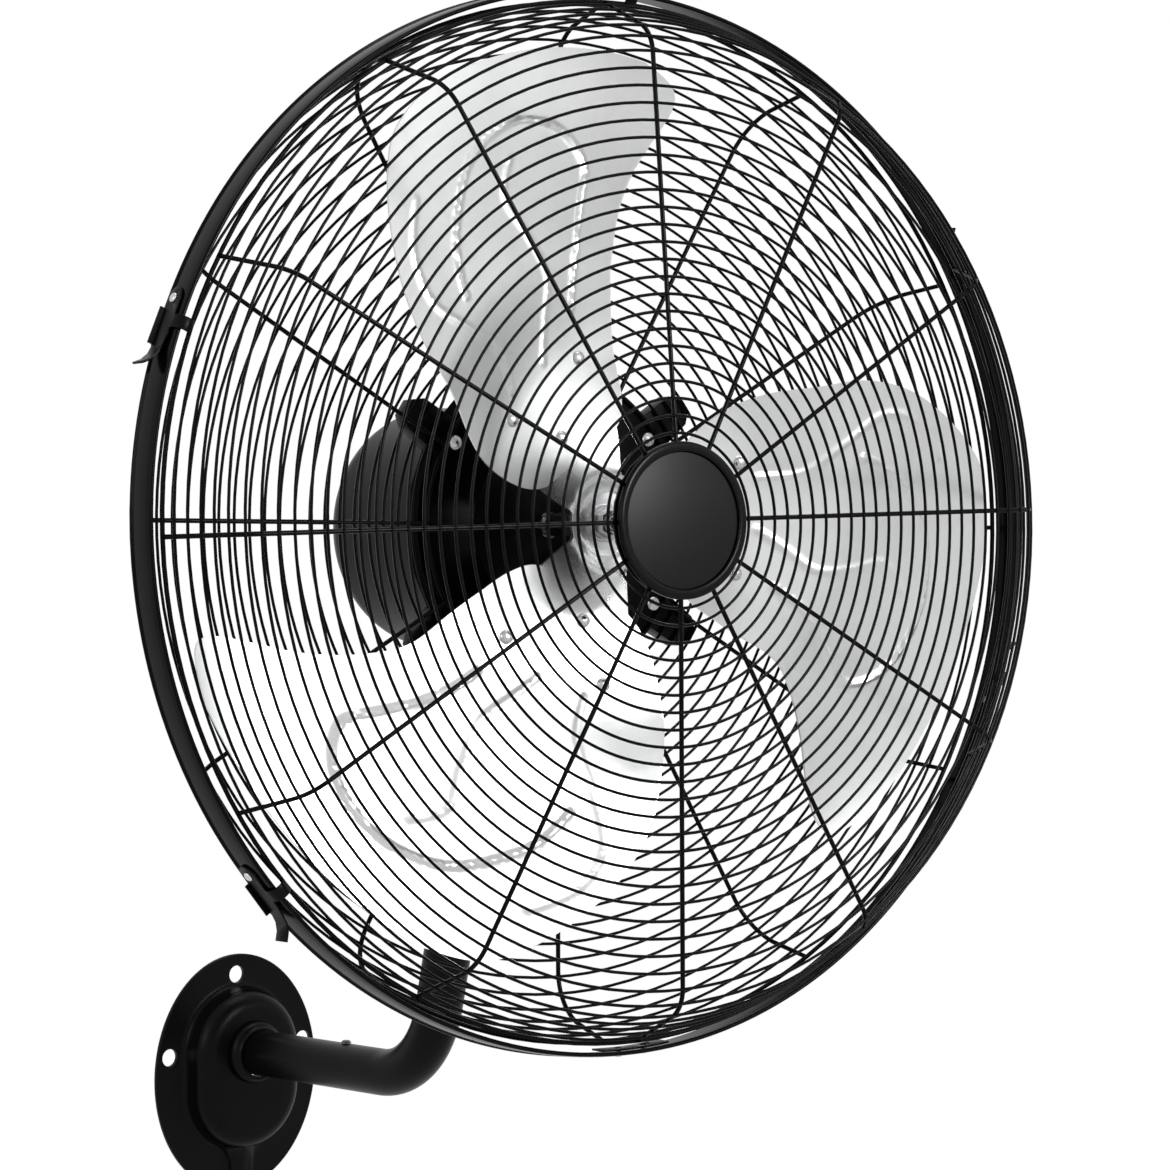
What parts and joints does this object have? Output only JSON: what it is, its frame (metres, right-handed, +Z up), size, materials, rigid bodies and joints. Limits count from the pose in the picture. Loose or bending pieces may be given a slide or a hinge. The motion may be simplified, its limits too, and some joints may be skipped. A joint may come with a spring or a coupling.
{
  "type": "wall mounted fan",
  "caption": "Wall fan on a bent tube arm, with a pan and tilt head, riveted metal blades and a wire guard in a band with turning clips.",
  "frame": {"origin": "on the wall plate's mounting face, on the line of its side screw holes, behind the arm's root", "axes": "+Z up, +X to the right seen from the front, the wall plate faces the wall along +Y and the fan is towards -Y"},
  "size_m": [0.6605, 0.5226, 0.8392],
  "materials": {
    "satin_black": "satin black powder coat",
    "gloss_black": "gloss black coated wire and band",
    "dark_steel": "darkened steel",
    "bright_steel": "bright zinc plated steel",
    "lamination": "laminated electrical steel",
    "blade_aluminium": "satin aluminium sheet",
    "polished_aluminium": "bright pressed aluminium",
    "rubber": "matte black rubber",
    "gloss_plastic": "glossy black plastic",
    "badge_face": "satin dark grey, plain"
  },
  "bodies": {
    "arm": {"wall_plate": "satin_black", "root_collar": "satin_black", "arm_tube": "satin_black", "arm_screw": "dark_steel", "neck": "satin_black", "swivel_pin": "dark_steel"},
    "swivel": {"yoke": "satin_black", "tilt_bolt": "bright_steel", "tilt_nut": "bright_steel"},
    "head": {"motor_bell": "satin_black", "end_shield": "satin_black", "stator_core": "lamination", "front_bearing": "bright_steel", "rear_bearing": "bright_steel", "cable_gland": "rubber", "rear_guard": "gloss_black", "guard_band": "gloss_black", "band_strap": "satin_black", "front_guard": "gloss_black", "badge_bezel": "gloss_plastic", "badge_disc": "badge_face", "badge_clamp": "satin_black", "badge_screw": "bright_steel", "guard_screw_1": "bright_steel", "guard_screw_2": "bright_steel", "guard_screw_3": "bright_steel", "guard_screw_4": "bright_steel", "joint_rivet_1": "bright_steel", "joint_rivet_2": "bright_steel", "latch_rivet_1": "bright_steel", "latch_rivet_2": "bright_steel", "latch_rivet_3": "bright_steel", "latch_rivet_4": "bright_steel", "latch_rivet_5": "bright_steel"},
    "rotor": {"shaft": "bright_steel", "rotor_core": "lamination", "hub_spider": "polished_aluminium", "hub_washer": "bright_steel", "hub_nut": "bright_steel", "blade_1": "blade_aluminium", "blade_2": "blade_aluminium", "blade_3": "blade_aluminium", "blade_1_rivet_1": "bright_steel", "blade_1_rivet_2": "bright_steel", "blade_1_rivet_3": "bright_steel", "blade_2_rivet_1": "bright_steel", "blade_2_rivet_2": "bright_steel", "blade_2_rivet_3": "bright_steel", "blade_3_rivet_1": "bright_steel", "blade_3_rivet_2": "bright_steel", "blade_3_rivet_3": "bright_steel"},
    "latch_body_1": {"latch_1": "satin_black"},
    "latch_body_2": {"latch_2": "satin_black"},
    "latch_body_3": {"latch_3": "satin_black"},
    "latch_body_4": {"latch_4": "satin_black"},
    "latch_body_5": {"latch_5": "satin_black"}
  },
  "joints": [
    {"name": "pan", "type": "hinge", "parent": "arm", "child": "swivel", "pos_m": [0, -0.2992, 0.2895], "axis": [0, 0, 1], "range_deg": [-55, 65]},
    {"name": "tilt", "type": "hinge", "parent": "swivel", "child": "head", "pos_m": [0, -0.2992, 0.2895], "axis": [0.9966, -0.0819, 0], "range_deg": [-27, 18]},
    {"name": "spin", "type": "hinge", "parent": "head", "child": "rotor", "pos_m": [-0.01166, -0.44102, 0.39561], "axis": [-0.0818, -0.9951, 0.0558], "continuous": true},
    {"name": "latch_1_turn", "type": "hinge", "parent": "head", "child": "latch_body_1", "pos_m": [0.28542, -0.44732, 0.53949], "axis": [0.8978, -0.0493, 0.4377], "range_deg": [0, 75]},
    {"name": "latch_2_turn", "type": "hinge", "parent": "head", "child": "latch_body_2", "pos_m": [0.02504, -0.41564, 0.72273], "axis": [0.1087, 0.0468, 0.993], "range_deg": [0, 75]},
    {"name": "latch_3_turn", "type": "hinge", "parent": "head", "child": "latch_body_3", "pos_m": [-0.30973, -0.39886, 0.53116], "axis": [-0.9057, 0.0976, 0.4125], "range_deg": [0, 75]},
    {"name": "latch_4_turn", "type": "hinge", "parent": "head", "child": "latch_body_4", "pos_m": [-0.2751, -0.42041, 0.19768], "axis": [-0.8008, 0.0323, -0.5981], "range_deg": [0, 75]},
    {"name": "latch_5_turn", "type": "hinge", "parent": "head", "child": "latch_body_5", "pos_m": [0.29244, -0.46308, 0.26896], "axis": [0.919, -0.097, -0.3821], "range_deg": [0, 75]}
  ]
}
